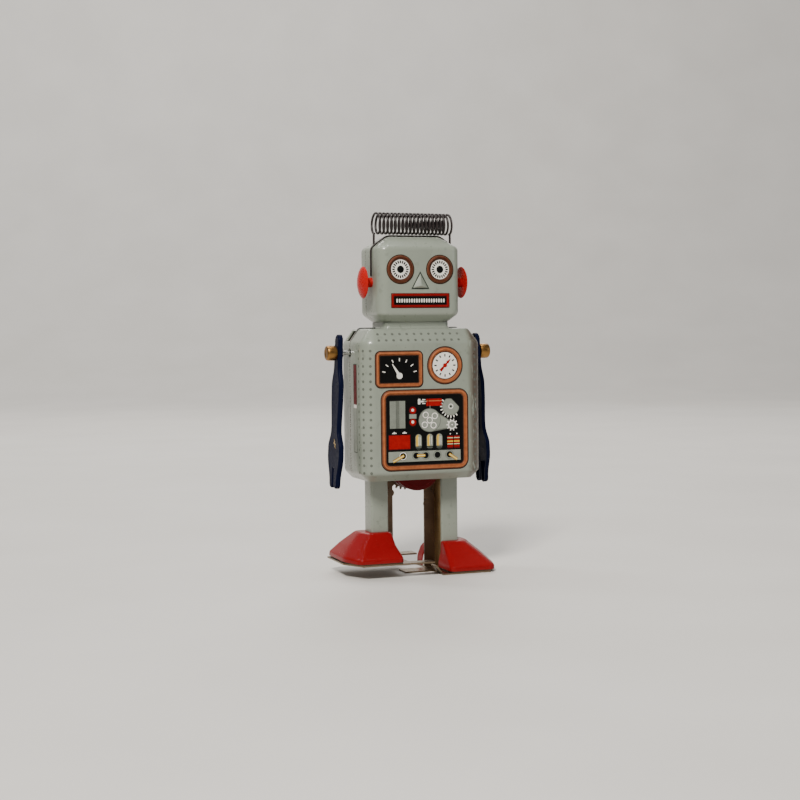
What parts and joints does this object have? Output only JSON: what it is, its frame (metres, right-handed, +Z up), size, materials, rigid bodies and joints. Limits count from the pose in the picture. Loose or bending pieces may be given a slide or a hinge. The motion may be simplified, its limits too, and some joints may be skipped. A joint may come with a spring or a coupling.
{
  "type": "wind-up tin toy robot",
  "caption": "Small tin wind-up walking robot with printed chest dials, coil-spring hair, swinging arms, a rear key and a geared crank motor that lifts its shoes in turn.",
  "frame": {"origin": "on the floor under the middle of the body, on the underside of the middle arm of the right foot's sole plate", "axes": "+Z up, the face looks along -Y, +X towards the standing (right-hand side of a viewer facing it) foot"},
  "size_m": [0.0572, 0.0412, 0.118],
  "materials": {
    "shell_enamel": "glossy grey-green enamel with printed dials and dots",
    "bare_tin": "bare stamped tin",
    "gilt_tin": "lacquered inside of the tin, golden brown",
    "brass": "brass gears",
    "cap_brass": "aged brass shoulder caps",
    "dark_wire": "black lacquered spring wire",
    "red_plastic": "glossy red moulded ears",
    "red_enamel": "glossy red enamel",
    "navy_enamel": "glossy dark navy enamel with small chips",
    "spring_steel": "blued spring steel",
    "dark_steel": "browned steel",
    "drum_red": "dark red painted spring drum",
    "steel": "turned steel shafts"
  },
  "bodies": {
    "torso": {"body_front_shell": "shell_enamel", "body_rear_shell": "shell_enamel", "body_tabs": "bare_tin", "neck_collar": "shell_enamel", "head_front_shell": "shell_enamel", "head_rear_shell": "shell_enamel", "ear_left": "red_plastic", "ear_right": "red_plastic", "headband_wire": "dark_wire", "head_coil": "dark_wire", "motor_frame": "bare_tin", "front_plate": "bare_tin", "arbor_bridge": "bare_tin", "frame_spacers": "steel", "rear_screws": "steel", "spring_drum": "drum_red", "mainspring": "spring_steel", "arm_shaft": "steel", "arm_cap_left": "cap_brass", "arm_cap_right": "cap_brass", "arm_washers": "steel"},
    "winding_train": {"main_arbor": "steel", "winding_key": "bare_tin", "main_wheel": "brass", "ratchet_wheel": "steel", "click": "steel"},
    "second_train": {"second_arbor": "steel", "second_pinion": "brass", "contrate_wheel": "brass"},
    "crank": {"crank_shaft": "steel", "crank_pinion": "brass", "governor_drive_wheel": "brass", "crank_disc_left": "bare_tin", "crank_disc_right": "bare_tin", "crank_washer_left": "dark_steel", "crank_washer_right": "dark_steel"},
    "governor": {"governor_arbor": "steel", "governor_pinion": "brass", "star_wheel": "steel"},
    "pallet": {"pallet_arbor": "steel", "pallet_anchor": "steel"},
    "leg_left": {"leg_left": "shell_enamel", "leg_link_left": "dark_steel", "leg_rivets_left": "dark_steel", "shoe_left": "red_enamel", "sole_plate_left": "gilt_tin"},
    "leg_right": {"leg_right": "shell_enamel", "leg_link_right": "dark_steel", "leg_rivets_right": "dark_steel", "shoe_right": "red_enamel", "sole_plate_right": "gilt_tin"},
    "arm_left": {"arm_left": "navy_enamel"},
    "arm_right": {"arm_right": "navy_enamel"}
  },
  "joints": [
    {"name": "crank_spin", "type": "hinge", "parent": "torso", "child": "crank", "pos_m": [0, 0, 0.046], "axis": [1, 0, 0], "continuous": true},
    {"name": "second_spin", "type": "hinge", "parent": "torso", "child": "second_train", "pos_m": [0, 0.006, 0.046], "axis": [0, 1, 0], "continuous": true},
    {"name": "winding_spin", "type": "hinge", "parent": "torso", "child": "winding_train", "pos_m": [0, 0.006, 0.035], "axis": [0, 1, 0], "continuous": true},
    {"name": "governor_spin", "type": "hinge", "parent": "torso", "child": "governor", "pos_m": [0, 0, 0.0524], "axis": [1, 0, 0], "continuous": true},
    {"name": "pallet_rock", "type": "hinge", "parent": "torso", "child": "pallet", "pos_m": [0, 0, 0.0576], "axis": [1, 0, 0], "range_deg": [-5, 5]},
    {"name": "leg_right_crank", "type": "hinge", "parent": "crank", "child": "leg_right", "pos_m": [0.0105, 0, 0.0439], "axis": [1, 0, 0], "continuous": true},
    {"name": "leg_left_crank", "type": "hinge", "parent": "crank", "child": "leg_left", "pos_m": [-0.0105, 0, 0.0481], "axis": [1, 0, 0], "continuous": true},
    {"name": "arm_left_swing", "type": "hinge", "parent": "torso", "child": "arm_left", "pos_m": [-0.0244, 0.00165, 0.0724], "axis": [1, 0, 0], "continuous": true},
    {"name": "arm_right_swing", "type": "hinge", "parent": "torso", "child": "arm_right", "pos_m": [0.0244, 0.00165, 0.0724], "axis": [1, 0, 0], "continuous": true}
  ],
  "couplings": [
    {"joint": "second_spin", "follows": "crank_spin", "ratio": -0.5},
    {"joint": "winding_spin", "follows": "crank_spin", "ratio": 0.14706},
    {"joint": "governor_spin", "follows": "crank_spin", "ratio": -3},
    {"joint": "leg_right_crank", "follows": "crank_spin", "ratio": -1},
    {"joint": "leg_left_crank", "follows": "crank_spin", "ratio": -1}
  ]
}
